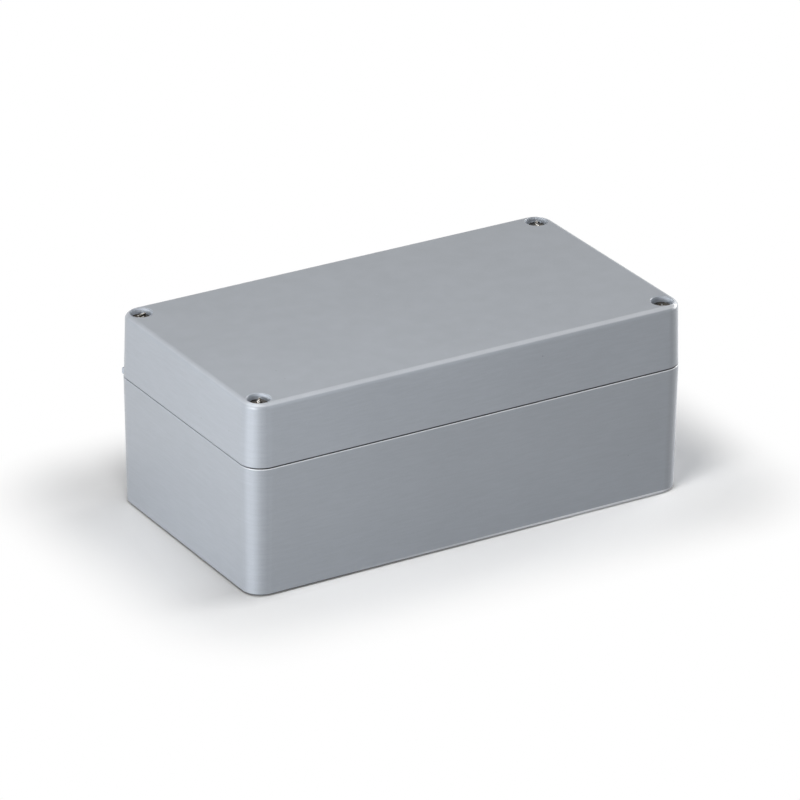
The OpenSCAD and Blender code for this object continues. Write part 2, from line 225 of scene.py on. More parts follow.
class StageSettings(bpy.types.PropertyGroup):
    """The floor, the lamps and the camera."""

    floor_tone: FloatProperty(
        name="Floor Tone", description="Lightness of the floor, from black to white",
        subtype="FACTOR", min=0, max=1, default=0.6,
    )
    floor_gain: FloatProperty(
        name="Floor Gain", description="How much lighter the floor looks than it lights things",
        min=1, default=1.86,
    )
    shadow_reach: FloatProperty(
        name="Shadow Reach", description="Distance from the object at which the floor is white",
        subtype="DISTANCE", unit="LENGTH", min=10 * MM, default=66 * MM,
    )
    light: FloatProperty(
        name="Light", description="Share of the plain level that all the lamps give together",
        min=0, default=1.0,
    )
    azimuth: FloatProperty(
        name="Azimuth", description="Direction that the camera looks from, round the object",
        subtype="ANGLE", unit="ROTATION", default=math.radians(-31.207),
    )
    elevation: FloatProperty(
        name="Elevation", description="Height of the camera above the horizon",
        subtype="ANGLE", unit="ROTATION", default=math.radians(24.705),
    )
    roll: FloatProperty(
        name="Roll", description="Tilt of the camera about its own line of sight",
        subtype="ANGLE", unit="ROTATION", default=math.radians(0.462),
    )
    distance: FloatProperty(
        name="Distance", description="From the camera to the middle of the underside, in depth",
        subtype="DISTANCE", unit="LENGTH", min=0.5, default=2.5975,
    )
    aim_left: FloatProperty(
        name="Aim Left", description="How far left of the underside's middle the camera aims",
        subtype="DISTANCE", unit="LENGTH", precision=5, default=0.39 * MM,
    )
    aim_up: FloatProperty(
        name="Aim Up", description="How far above the underside's middle the camera aims",
        subtype="DISTANCE", unit="LENGTH", precision=5, default=41.08 * MM,
    )
    lens: FloatProperty(
        name="Lens", description="Focal length for a 36 mm wide sensor, in millimetres",
        min=20, default=264.5,
    )


# --------------------------------------------------------------------------------- node helpers


def add(tree, kind, inputs=None, **settings):
    """Adds a node, sets its own settings, then links or fills its inputs by name or number."""
    made = tree.nodes.new(kind)
    for key, value in settings.items():
        setattr(made, key, value)
    for key, value in (inputs or {}).items():
        if isinstance(value, bpy.types.NodeSocket):
            tree.links.new(value, made.inputs[key])
        else:
            made.inputs[key].default_value = value
    return made


def maths(tree, operation, *values):
    """The result of a Math node on one, two or three sockets or numbers."""
    return add(tree, "ShaderNodeMath", dict(enumerate(values)), operation=operation).outputs[0]


def point(tree, x=0.0, y=0.0, z=0.0):
    """The vector made of three sockets or numbers."""
    return add(tree, "ShaderNodeCombineXYZ", {0: x, 1: y, 2: z}).outputs[0]


def ramp(tree, value, low, high, to_low=0.0, to_high=1.0):
    """A value taken from one range to another, and held at its ends."""
    inputs = {
        "Value": value, "From Min": low, "From Max": high, "To Min": to_low, "To Max": to_high,
    }
    return add(tree, "ShaderNodeMapRange", inputs).outputs["Result"]


def product(tree, first, *others):
    """Two or more sockets or numbers multiplied together."""
    for other in others:
        first = maths(tree, "MULTIPLY", first, other)
    return first


def total(tree, first, *others):
    """Two or more sockets or numbers added together."""
    for other in others:
        first = maths(tree, "ADD", first, other)
    return first


def band(tree, value, low, high, fade):
    """1 where a value is between two limits, falling to 0 over the fade outside them."""
    rise = ramp(tree, value, low - fade, low)
    return product(tree, rise, ramp(tree, value, high, high + fade, 1, 0))


def from_corner(tree, place, corner):
    """How far a place is along and across past a corner, the same in all four quarters."""
    spot = add(tree, "ShaderNodeSeparateXYZ", {0: place}).outputs
    return [maths(tree, "SUBTRACT", maths(tree, "ABSOLUTE", spot[axis]), corner[axis])
            for axis in (0, 1)]


def level_length(tree, x, y):
    """Length of the level line with these two parts."""
    line = add(tree, "ShaderNodeVectorMath", {0: point(tree, x, y)}, operation="LENGTH")
    return line.outputs["Value"]


def distance_outside(tree, place, corner):
    """How far a place is, level with the ground, outside an upright block with this corner."""
    past = [maths(tree, "MAXIMUM", aside, 0.0) for aside in from_corner(tree, place, corner)]
    return level_length(tree, *past)


def distance_from_screw(tree, place):
    """How far a place is, level with the ground, from the axis of the nearest lid screw."""
    low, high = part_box("screw_back_right")
    return level_length(tree, *from_corner(tree, place, (low + high) / 2))


# ------------------------------------------------------------------------------------ materials


def new_material(name):
    """A material with an empty tree, its Principled shader and its object coordinates."""
    material = bpy.data.materials.new(name)
    material.use_nodes = True
    tree = material.node_tree
    tree.nodes.clear()
    shader = add(tree, "ShaderNodeBsdfPrincipled")
    add(tree, "ShaderNodeOutputMaterial", {"Surface": shader.outputs[0]})
    place = add(tree, "ShaderNodeTexCoord").outputs["Object"]
    return material, tree, shader, place


def noise(tree, place, size, detail=2.0, roughness=0.5):
    """Soft noise whose features are about the given size, in metres."""
    inputs = {"Vector": place, "Scale": 1 / size, "Detail": detail, "Roughness": roughness}
    return add(tree, "ShaderNodeTexNoise", inputs).outputs["Fac"]


def blend(tree, share, first, second):
    """A colour between two others."""
    inputs = {"Factor": share, 6: (*first, 1), 7: (*second, 1)}
    return add(tree, "ShaderNodeMix", inputs, data_type="RGBA").outputs[2]


def bump(tree, height, depth, normal=None):
    """Normals bent by a height from 0 to 1 that stands for the given depth, in metres."""
    inputs = {"Height": height, "Distance": depth, "Strength": 1.0}
    if normal is not None:
        inputs["Normal"] = normal
    return add(tree, "ShaderNodeBump", inputs).outputs[0]


# Heights of the marks on the coat, each as its low end, its high end and the width of its fade:
# the painted seam shade, the painted shade round the foot, and the painted highlights along the
# front's foot, the base's rim and the top edge
SEAM_BAND = (SEAM - 0.1 * MM, SEAM + 0.5 * MM, 0.06 * MM)
FOOT_BAND = (0.3 * MM, 1.0 * MM, 0.25 * MM)
SILL_BAND = (0.3 * MM, 1.9 * MM, 0.2 * MM)
RIM_BAND = (SEAM - 0.5 * MM, SEAM - 0.15 * MM, 0.1 * MM)
TOP_EDGE_BAND = (TOP - 0.85 * MM, TOP - 0.1 * MM, 0.45 * MM)

# Distances past the axes of the upright corners over which the marks set in
INSIDE_LIP = (8.5 * MM, 8.7 * MM)
TOP_ROUNDING = (6.3 * MM, 6.9 * MM)
OUTER_FACE = (7.3 * MM, 7.6 * MM)

# Angles round an upright corner, from the end face, each as low end, high end and fade: the
# painted highlight, then the painted shade beside it
CORNER_HIGHLIGHT_BAND = [math.radians(degrees) for degrees in (28, 40, 15)]
CORNER_SHADE_BAND = [math.radians(degrees) for degrees in (64, 78, 12)]

# Where the front starts, and where the painted highlight along its foot sets in and ends
FRONT_FACE = (-58 * MM, -50 * MM)
SILL_START = (-65 * MM, 50 * MM)
SILL_END = (99 * MM, 106 * MM)

# The screw recesses, which get painted light: distance from the screw's axis, then heights of
# their floors and rims
RECESS_WALL = (5.45 * MM, 5.6 * MM)
RECESS_FLOOR = (TOP - 6 * MM, TOP - 5 * MM)
RECESS_RIM = (TOP - 0.7 * MM, TOP - 0.4 * MM)
# Height at which the base's painted shade ends
BASE_SHADE_STEP = (SEAM + 0.2 * MM, SEAM + 0.25 * MM)

CLOUD_SIZE = 45 * MM
STREAK_SIZE = 2.2 * MM
STREAK_SQUEEZE = (0.25, 0.25, 2.5)  # draws the streaks out level
SPECK_EDGE = (0.03, 0.05)  # as shares of the specks' spacing
SPECK_TONES = (-0.22, 0.16)  # dark specks and light ones
SPECK_LOT = 0.8  # a cell gets a speck of a tone when its lot for that tone is above this

# Strengths of the painted shade in the front's seam, of the painted highlights on the sides' rim
# and top edge and along the front's foot, and of the painted light at the recess rims
FRONT_PAINTED_SEAM_SHADE = 0.9
SIDE_RIM_HIGHLIGHT = 0.06
SIDE_EDGE_HIGHLIGHT = 0.15
SILL_HIGHLIGHT = 1.1
RECESS_RIM_LIGHT = 0.15
HIGHLIGHT_SPAN = (-60 * MM, 90 * MM)  # over which the painted highlights in front grow to the right
BASE_SHADE_TONE = 0.96  # painted shade: the base is a little darker than the lid


def coat_place(tree, place):
    """Where a place on a casting lies, as sockets by which the coat's marks are laid out."""
    x, y, z = add(tree, "ShaderNodeSeparateXYZ", {0: place}).outputs
    front = ramp(tree, y, *FRONT_FACE, 1, 0)
    # The stretch of the front's foot that gets a painted highlight and no painted shade
    sill = product(tree, front, ramp(tree, x, *SILL_START), ramp(tree, x, *SILL_END, 1, 0))
    past = distance_outside(tree, place, CORNER_AXIS)
    return SimpleNamespace(place=place, x=x, z=z, front=front, sill=sill, past=past)


def coat_tone(tree, place, grain, coat):
    """Tone of the clean coat: clouds, fine grain, faint level streaks and a few stray specks."""
    clouds = noise(tree, place, CLOUD_SIZE, 3)
    inputs = {0: place, 1: STREAK_SQUEEZE}
    drawn_out = add(tree, "ShaderNodeVectorMath", inputs, operation="MULTIPLY").outputs[0]
    streaks = noise(tree, drawn_out, STREAK_SIZE, 2)
    tone = total(
        tree, ramp(tree, clouds, 0.3, 0.7, 0.975, 1.02),
        ramp(tree, grain, 0.25, 0.75, -0.045, 0.045),
        ramp(tree, streaks, 0.3, 0.7, -0.028, 0.028),
    )

    # A speck is a small round spot in a few of the cells that share out the surface
    inputs = {"Vector": place, "Scale": 1 / coat.speck_spacing}
    cells = add(tree, "ShaderNodeTexVoronoi", inputs).outputs
    lot = add(tree, "ShaderNodeSeparateColor", {"Color": cells["Color"]}).outputs
    spot = ramp(tree, cells["Distance"], *SPECK_EDGE, 1, 0)
    for channel, strength in enumerate(SPECK_TONES):
        chosen = maths(tree, "GREATER_THAN", lot[channel], SPECK_LOT)
        tone = total(tree, tone, product(tree, spot, chosen, strength))
    return tone


def unshaded_share(tree, at, coat):
    """Share of the tone that the painted shade leaves, in the seam and round the foot."""
    seam = product(tree, band(tree, at.z, *SEAM_BAND), ramp(tree, at.past, *INSIDE_LIP),
                   ramp(tree, at.front, 0, 1, coat.painted_seam_shade, FRONT_PAINTED_SEAM_SHADE))
    foot = product(tree, band(tree, at.z, *FOOT_BAND),
                   ramp(tree, at.sill, 0, 1, coat.painted_foot_shade, 0.0))
    return product(tree, maths(tree, "SUBTRACT", 1.0, seam), maths(tree, "SUBTRACT", 1.0, foot))


def painted_highlight_share(tree, at, coat):
    """How much painted highlight the coat gets, along the rim, the front's foot and the top edge.
    """
    in_front = ramp(tree, at.x, *HIGHLIGHT_SPAN, coat.painted_rim_highlight, 1.5 * coat.painted_rim_highlight)
    rim = product(tree, band(tree, at.z, *RIM_BAND),
                  ramp(tree, at.front, 0, 1, SIDE_RIM_HIGHLIGHT, in_front))
    sill = product(tree, band(tree, at.z, *SILL_BAND), at.sill, SILL_HIGHLIGHT)
    in_front = ramp(tree, at.x, *HIGHLIGHT_SPAN, coat.painted_edge_highlight, 1.6 * coat.painted_edge_highlight)
    edge = product(tree, band(tree, at.z, *TOP_EDGE_BAND), ramp(tree, at.past, *TOP_ROUNDING),
                   ramp(tree, at.front, 0, 1, SIDE_EDGE_HIGHLIGHT, in_front))
    return total(tree, rim, sill, edge)


def painted_light_share(tree, at, coat):
    """How light the coat is painted in the screw recesses and on the upright corners, 1 elsewhere.
    """
    # Painted light in the screw recesses
    recess = product(
        tree, ramp(tree, distance_from_screw(tree, at.place), *RECESS_WALL, 1, 0),
        ramp(tree, at.z, *RECESS_FLOOR),
        ramp(tree, at.z, *RECESS_RIM, coat.painted_recess_light, RECESS_RIM_LIGHT),
    )
    aside = from_corner(tree, at.place, CORNER_AXIS)
    turn = maths(tree, "ARCTAN2", aside[1], aside[0])
    outer = ramp(tree, at.past, *OUTER_FACE)
    # A painted highlight on each upright corner, and painted shade beside it
    arris = product(tree, band(tree, turn, *CORNER_HIGHLIGHT_BAND), outer, coat.painted_corner_highlight)
    streak = product(tree, band(tree, turn, *CORNER_SHADE_BAND), outer, -coat.painted_corner_shade)
    return total(tree, 1.0, recess, arris, streak)


def scaled(tree, colour, share):
    """A colour times a socket."""
    inputs = {0: tuple(colour), "Scale": share}
    return add(tree, "ShaderNodeVectorMath", inputs, operation="SCALE").outputs[0]


def powder_coat(coat):
    """Satin powder coat with soft peel and fine grain, and with painted shade and painted
    highlights.
    """
    material, tree, shader, place = new_material("satin_powder_coat")
    shader.inputs["Coat Weight"].default_value = coat.gloss_weight
    shader.inputs["Coat Roughness"].default_value = coat.gloss_roughness
    grain = noise(tree, place, coat.grain_size, 2, 0.7)
    at = coat_place(tree, place)
    tone = product(tree, coat_tone(tree, place, grain, coat), unshaded_share(tree, at, coat))
    # Painted highlights, which take the highlight colour
    highlight_tone = product(tree, tone, painted_highlight_share(tree, at, coat))
    # Painted shade: the base a little darker than the lid
    darker_base = ramp(tree, at.z, *BASE_SHADE_STEP, BASE_SHADE_TONE, 1.0)
    tone = product(tree, tone, painted_light_share(tree, at, coat), darker_base)
    inputs = {0: scaled(tree, coat.colour, tone), 1: scaled(tree, coat.highlight_colour, highlight_tone)}
    colour = add(tree, "ShaderNodeVectorMath", inputs).outputs[0]
    tree.links.new(colour, shader.inputs["Base Color"])
    rough = ramp(tree, grain, 0.2, 0.8, coat.roughness - 0.04, coat.roughness + 0.04)
    tree.links.new(rough, shader.inputs["Roughness"])
    peel = bump(tree, noise(tree, place, coat.peel_size, 1.5), coat.peel_depth)
    tree.links.new(bump(tree, grain, coat.peel_depth / 3, peel), shader.inputs["Normal"])
    return material


def steel(name, dark, light, smooth, dull, patch=1.6 * MM, spread=(0.35, 0.65)):
    """Steel whose plating is patchy: two colours and two roughnesses, with fine tool marks."""
    material, tree, shader, place = new_material(name)
    shader.inputs["Metallic"].default_value = 1.0
    patches = ramp(tree, noise(tree, place, patch, 3), *spread)
    tree.links.new(blend(tree, patches, dark, light), shader.inputs["Base Color"])
    tree.links.new(ramp(tree, patches, 0.0, 1.0, dull, smooth), shader.inputs["Roughness"])
    marks = noise(tree, place, 0.12 * MM, 2)
    tree.links.new(bump(tree, marks, 0.002 * MM), shader.inputs["Normal"])
    return material


def plated_steel():
    """Bright zinc plate, for the washers and the earth screws."""
    return steel("plated_steel", (0.50, 0.47, 0.43), (0.62, 0.60, 0.57), 0.2, 0.34)


def dark_steel():
    """Nearly black plate with a brown tint, for the lid screws."""
    return steel("dark_steel", (0.020, 0.018, 0.016), (0.085, 0.062, 0.036), 0.16, 0.3)


def worn_steel():
    """Dark plate that the driver has worn to bright steel in places, for the cross recesses."""
    dark, bright = (0.07, 0.055, 0.035), (0.85, 0.84, 0.82)
    return steel("worn_steel", dark, bright, 0.12, 0.24, 1.1 * MM, (0.5, 0.58))


def seal_rubber():
    """Matt black rubber cord with a faint bloom."""
    material, tree, shader, place = new_material("seal_rubber")
    bloom = noise(tree, place, 6 * MM, 3)
    tone = ramp(tree, bloom, 0.3, 0.7, 0.018, 0.03)
    tree.links.new(point(tree, tone, tone, tone), shader.inputs["Base Color"])
    tree.links.new(ramp(tree, bloom, 0.3, 0.7, 0.62, 0.75), shader.inputs["Roughness"])
    tree.links.new(bump(tree, noise(tree, place, 0.3 * MM), 0.01 * MM), shader.inputs["Normal"])
    return material


def ring_nylon():
    """Natural nylon: milky, with a soft gloss."""
    material, tree, shader, place = new_material("ring_nylon")
    shader.inputs["Subsurface Weight"].default_value = 0.3
    shader.inputs["Subsurface Radius"].default_value = (1 * MM, 1 * MM, 0.7 * MM)
    shader.inputs["Subsurface Scale"].default_value = 1.0
    haze = noise(tree, place, 1.5 * MM)
    tone = blend(tree, haze, (0.70, 0.67, 0.59), (0.76, 0.74, 0.66))
    tree.links.new(tone, shader.inputs["Base Color"])
    tree.links.new(ramp(tree, haze, 0.3, 0.7, 0.4, 0.5), shader.inputs["Roughness"])
    return material


def named_material(name, make, *arguments):
    """The material of that name, made the first time that it is asked for."""
    return bpy.data.materials.get(name) or make(*arguments)


# --------------------------------------------------------------------------------------- pieces


def paint(piece, material):
    """Gives a piece or a CAD node one material all over."""
    piece.data.materials.clear()
    piece.data.materials.append(material)
    piece.data.polygons.foreach_set("material_index", [0] * len(piece.data.polygons))


def new_piece(name, mesh, body, nodes):
    """Links a finished mesh as a piece that rides on a body and stands for its CAD nodes."""
    piece = bpy.data.objects.new(name, mesh)
    bpy.context.scene.collection.objects.link(piece)
    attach(piece, body)
    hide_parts(*nodes)
    return piece


def soft_edged(node, name, edge, material, body):
    """Puts a copy of a CAD node in its place with rounded edges, as plating or moulding leaves."""
    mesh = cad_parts[node].data.copy()
    mesh.name = name
    work = bmesh.new()
    work.from_mesh(mesh)
    bmesh.ops.remove_doubles(work, verts=work.verts, dist=MERGE_GAP)
    limits = {"angle_limit": FLAT_ANGLE, "verts": work.verts, "edges": work.edges}
    bmesh.ops.dissolve_limit(work, use_dissolve_boundaries=False, **limits)
    work.to_mesh(mesh)
    work.free()
    piece = new_piece(name, mesh, body, [node])
    paint(piece, material)
    rounding = piece.modifiers.new("Edge rounding", "BEVEL")
    rounding.width = edge
    rounding.segments = 2
    rounding.limit_method = "ANGLE"
    rounding.angle_limit = SHARP_ANGLE
    rounding.harden_normals = True


# --------------------------------------------------------------------------------- screw's tree

SCREW_SIZES = (
    "Head Radius", "Head Height", "Head Rounding", "Neck Radius", "Neck Length", "Thread Radius",
    "Thread Length", "Thread Depth", "Pitch", "Tip Chamfer", "Cross Width", "Wing Width",
    "Cross Depth", "Turn",
)
THREAD_DEPTH = 0.6  # as a share of the pitch
ROWS_PER_TURN = 8.0
HEAD_EDGE_STEPS = 5
CREASE_ANGLE = math.radians(32)
WING_TAPER = (0.45, 1.12)  # share of the cross's width at the floor and at the top
CONE_SIDES = 24
CONE_TOP = 0.33  # radius, as a share of the cross's width
CONE_TIP = 0.55  # radius, as a share of a wing's width


def screw_tree():
    """A cross-headed machine screw, built upright with the seat of its head at the origin."""
    tree = bpy.data.node_groups.new("Cross Headed Screw", "GeometryNodeTree")
    sockets = [(name, "Float") for name in SCREW_SIZES]
    sockets += [("Sides", "Int"), ("Tilt", "Float"), ("Seat", "Vector")]
    sockets += [("Material", "Material"), ("Cross Material", "Material")]
    for name, kind in sockets:
        tree.interface.new_socket(name, in_out="INPUT", socket_type=f"NodeSocket{kind}")
    tree.interface.new_socket("Geometry", in_out="OUTPUT", socket_type="NodeSocketGeometry")
    size = add(tree, "NodeGroupInput").outputs

    profile = screw_profile(tree, size)
    turned = turned_solid(tree, size, profile)
    cut = add(tree, "GeometryNodeMeshBoolean", {"Mesh 1": turned}, operation="DIFFERENCE")
    for wing in cross_cutter(tree, size):
        inputs = {"Geometry": wing, "Material": size["Cross Material"]}
        worn = add(tree, "GeometryNodeSetMaterial", inputs).outputs[0]
        tree.links.new(worn, cut.inputs["Mesh 2"])
    inputs = {
        "Geometry": cut.outputs["Mesh"],
        "Translation": size["Seat"],
        "Rotation": point(tree, size["Tilt"], 0.0, size["Turn"]),
    }
    placed = add(tree, "GeometryNodeTransform", inputs).outputs[0]

    smooth = add(tree, "GeometryNodeSetShadeSmooth", {"Geometry": placed}, domain="FACE")
    bend = add(tree, "GeometryNodeInputMeshEdgeAngle").outputs["Unsigned Angle"]
    inputs = {
        "Geometry": smooth.outputs[0],
        "Selection": maths(tree, "GREATER_THAN", bend, CREASE_ANGLE),
        "Shade Smooth": False,
    }
    creased = add(tree, "GeometryNodeSetShadeSmooth", inputs, domain="EDGE").outputs[0]
    real = add(tree, "GeometryNodeRealizeInstances", {"Geometry": creased}).outputs[0]
    inputs = {"Material": size["Cross Material"]}
    in_cross = add(tree, "GeometryNodeMaterialSelection", inputs).outputs[0]
    outside = add(tree, "FunctionNodeBooleanMath", {0: in_cross}, operation="NOT").outputs[0]
    inputs = {"Geometry": real, "Selection": outside, "Material": size["Material"]}
    coated = add(tree, "GeometryNodeSetMaterial", inputs).outputs[0]
    add(tree, "NodeGroupOutput", {"Geometry": coated})
    return tree


def screw_profile(tree, size):
    """Half section from the middle of the head's top, out, down the screw and in to its tip."""
    neck_end = product(tree, size["Neck Length"], -1.0)
    tip = maths(tree, "SUBTRACT", neck_end, size["Thread Length"])
    thread_end = total(tree, tip, size["Tip Chamfer"])
    tip_radius = maths(tree, "SUBTRACT", size["Thread Radius"], size["Tip Chamfer"])
    head_edge, thread_start = 1.0, 5.0  # places of these corners in the list
    corners = (
        (0.0, size["Head Height"]),
        (size["Head Radius"], size["Head Height"]),
        (size["Head Radius"], 0.0),
        (size["Neck Radius"], 0.0),
        (size["Neck Radius"], neck_end),
        (size["Thread Radius"], neck_end),
        (size["Thread Radius"], thread_end),
        (tip_radius, tip),
        (0.0, tip),
    )
    index = add(tree, "GeometryNodeInputIndex").outputs[0]
    choice = add(tree, "GeometryNodeIndexSwitch", {"Index": index}, data_type="VECTOR")
    while len(choice.index_switch_items) < len(corners):
        choice.index_switch_items.new()
    for number, (radius, height) in enumerate(corners):
        tree.links.new(point(tree, radius, 0.0, height), choice.inputs[number + 1])
    line = add(tree, "GeometryNodeMeshLine", {"Count": len(corners)}).outputs[0]
    inputs = {"Geometry": line, "Position": choice.outputs[0]}
    laid = add(tree, "GeometryNodeSetPosition", inputs).outputs[0]
    curve = add(tree, "GeometryNodeMeshToCurve", {"Mesh": laid}).outputs[0]

    # Rows are added along the thread alone, and the head's top edge is rounded
    turns = maths(tree, "DIVIDE", size["Thread Length"], size["Pitch"])
    on_thread = maths(tree, "COMPARE", index, thread_start, 0.1)
    rows = product(tree, turns, ROWS_PER_TURN, on_thread)
    fine = add(tree, "GeometryNodeSubdivideCurve", {"Curve": curve, "Cuts": rows}).outputs[0]
    on_edge = maths(tree, "COMPARE", index, head_edge, 0.1)
    inputs = {
        "Curve": fine,
        "Count": HEAD_EDGE_STEPS,
        "Radius": product(tree, on_edge, size["Head Rounding"]),
        "Limit Radius": True,
    }
    return add(tree, "GeometryNodeFilletCurve", inputs, mode="POLY").outputs[0]


def turned_solid(tree, size, profile):
    """The profile turned about the upright axis, with a right-hand thread cut into it."""
    count = add(tree, "GeometryNodeAttributeDomainSize", {"Geometry": profile}, component="CURVE")
    rows = count.outputs["Point Count"]
    columns = total(tree, size["Sides"], 1.0)
    inputs = {"Vertices X": columns, "Vertices Y": rows}
    sheet = add(tree, "GeometryNodeMeshGrid", inputs).outputs["Mesh"]

    index = add(tree, "GeometryNodeInputIndex").outputs[0]
    column = maths(tree, "FLOOR", maths(tree, "DIVIDE", total(tree, index, 0.5), rows))
    row = maths(tree, "SUBTRACT", index, product(tree, column, rows))
    share = maths(tree, "DIVIDE", column, size["Sides"])
    angle = product(tree, share, math.tau)
    inputs = {
        "Geometry": profile,
        "Value": add(tree, "GeometryNodeInputPosition").outputs[0],
        "Index": row,
    }
    sample = add(tree, "GeometryNodeSampleIndex", inputs, data_type="FLOAT_VECTOR")
    spot = add(tree, "ShaderNodeSeparateXYZ", {0: sample.outputs[0]}).outputs
    radius, height = spot[0], spot[2]

    neck_end = product(tree, size["Neck Length"], -1.0)
    whole = total(tree, size["Neck Length"], size["Thread Length"])
    thread_end = maths(tree, "SUBTRACT", size["Tip Chamfer"], whole)
    from_start = maths(tree, "SUBTRACT", neck_end, height)
    from_end = maths(tree, "SUBTRACT", height, thread_end)
    inside = maths(tree, "MINIMUM", from_start, from_end)
    run_in = ramp(tree, inside, 0.0, product(tree, size["Pitch"], 0.5))
    phase = maths(tree, "SUBTRACT", maths(tree, "DIVIDE", height, size["Pitch"]), share)
    wave = maths(tree, "SUBTRACT", product(tree, maths(tree, "FRACT", phase), 2.0), 1.0)
    groove = product(tree, maths(tree, "ABSOLUTE", wave), size["Thread Depth"])
    radius = maths(tree, "SUBTRACT", radius, product(tree, groove, run_in))

    x = product(tree, radius, maths(tree, "COSINE", angle))
    y = product(tree, radius, maths(tree, "SINE", angle))
    inputs = {"Geometry": sheet, "Position": point(tree, x, y, height)}
    bent = add(tree, "GeometryNodeSetPosition", inputs).outputs[0]
    inputs = {"Geometry": bent, "Distance": MERGE_GAP}
    return add(tree, "GeometryNodeMergeByDistance", inputs).outputs[0]


def cross_cutter(tree, size):
    """Two crossed tapering wings and a cone, standing in the top of the head."""
    margin = 1 * MM  # the cutter runs this far past the top
    floor = maths(tree, "SUBTRACT", size["Head Height"], size["Cross Depth"])
    height = total(tree, size["Cross Depth"], margin)
    middle = total(tree, floor, product(tree, height, 0.5))
    inputs = {"Size": point(tree, size["Cross Width"], size["Wing Width"], height)}
    box = add(tree, "GeometryNodeMeshCube", inputs).outputs["Mesh"]
    here = add(tree, "GeometryNodeInputPosition").outputs[0]
    spot = add(tree, "ShaderNodeSeparateXYZ", {0: here}).outputs
    half = product(tree, height, 0.5)
    lean = ramp(tree, spot[2], product(tree, half, -1.0), half, *WING_TAPER)
    x = product(tree, spot[0], lean)
    lifted = total(tree, spot[2], middle)
    inputs = {"Geometry": box, "Position": point(tree, x, spot[1], lifted)}
    wing = add(tree, "GeometryNodeSetPosition", inputs).outputs[0]
    inputs = {"Geometry": wing, "Rotation": (0, 0, math.pi / 2)}
    across = add(tree, "GeometryNodeTransform", inputs).outputs[0]
    inputs = {
        "Vertices": CONE_SIDES,
        "Radius Top": product(tree, size["Cross Width"], CONE_TOP),
        "Radius Bottom": product(tree, size["Wing Width"], CONE_TIP),
        "Depth": height,
    }
    cone = add(tree, "GeometryNodeMeshCone", inputs).outputs["Mesh"]
    inputs = {"Geometry": cone, "Translation": point(tree, 0.0, 0.0, floor)}
    return wing, across, add(tree, "GeometryNodeTransform", inputs).outputs[0]


def fit_screw(node, name, body, seat, lengths, turn, plate, upside_down=False):
    """Runs the screw's tree for one screw and leaves a plain mesh in its place.

    The lengths are those of its neck and its thread.
    """
    screws = bpy.context.scene.enclosure_screws
    low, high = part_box(node)
    sizes = {
        "Head Radius": (high.x - low.x) / 2,
        "Head Height": screws.head_height,
        "Head Rounding": screws.head_rounding,
        "Neck Radius": screws.neck_diameter / 2,
        "Neck Length": lengths[0],
        "Thread Radius": screws.thread_diameter / 2,
        "Thread Length": lengths[1],
        "Thread Depth": THREAD_DEPTH * screws.pitch,
        "Pitch": screws.pitch,
        "Tip Chamfer": screws.tip_chamfer,
        "Cross Width": screws.cross_width,
        "Wing Width": screws.wing_width,
        "Cross Depth": screws.cross_depth,
        "Turn": turn,
        "Sides": screws.sides,
        "Tilt": math.pi if upside_down else 0.0,
        "Seat": seat,
        "Material": plate,
        "Cross Material": named_material("worn_steel", worn_steel),
    }
    tree = bpy.data.node_groups.get("Cross Headed Screw") or screw_tree()
    piece = bpy.data.objects.new(name, bpy.data.meshes.new(name))
    bpy.context.scene.collection.objects.link(piece)
    shape = piece.modifiers.new("Shape", "NODES")
    shape.node_group = tree
    for item in tree.interface.items_tree:
        if item.item_type == "SOCKET" and item.in_out == "INPUT":
            shape[item.identifier] = sizes[item.name]
    depsgraph = bpy.context.evaluated_depsgraph_get()
    mesh = bpy.data.meshes.new_from_object(piece.evaluated_get(depsgraph))
    mesh.name = name
    piece.modifiers.remove(shape)
    bpy.data.objects.remove(piece)
    new_piece(name, mesh, body, [node])


# ------------------------------------------------------------------------------------ operators


class ENCLOSURE_OT_coat_castings(bpy.types.Operator):
    """Gives the base and the lid their powder coat"""

    bl_idname = "enclosure.coat_castings"
    bl_label = "Coat Castings"

    def execute(self, context):
        coat = named_material("satin_powder_coat", powder_coat, context.scene.enclosure_coat)
        for node in CASTINGS:
            paint(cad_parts[node], coat)
        return {"FINISHED"}


class ENCLOSURE_OT_fit_seal(bpy.types.Operator):
    """Lays the rubber seal in the lid's groove"""

    bl_idname = "enclosure.fit_seal"
    bl_label = "Fit Seal"

    def execute(self, context):
        rubber = named_material("seal_rubber", seal_rubber)
        soft_edged("lid_seal", "rubber_seal", SEAL_EDGE, rubber, "lid_body")
        return {"FINISHED"}


class ENCLOSURE_OT_fit_lid_screws(bpy.types.Operator):
    """Fits a captive screw and its retaining ring in each corner of the lid"""

    bl_idname = "enclosure.fit_lid_screws"
    bl_label = "Fit Lid Screws"

    def execute(self, context):
        screws = context.scene.enclosure_screws
        nylon = named_material("ring_nylon", ring_nylon)
        plate = named_material("dark_steel", dark_steel)
        for corner, turn in CORNERS.items():
            low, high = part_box(f"screw_{corner}")
            middle = (low + high) / 2
            seat = Vector((middle.x, middle.y, high.z - screws.head_height))
            neck = seat.z - low.z - screws.lid_thread_length
            fit_screw(f"screw_{corner}", f"lid_screw_{corner}", f"screw_{corner}_body", seat,
                      (neck, screws.lid_thread_length), math.radians(turn), plate)
            soft_edged(f"ring_{corner}", f"retaining_ring_{corner}", RING_EDGE, nylon,
                       f"ring_{corner}_body")
        return {"FINISHED"}


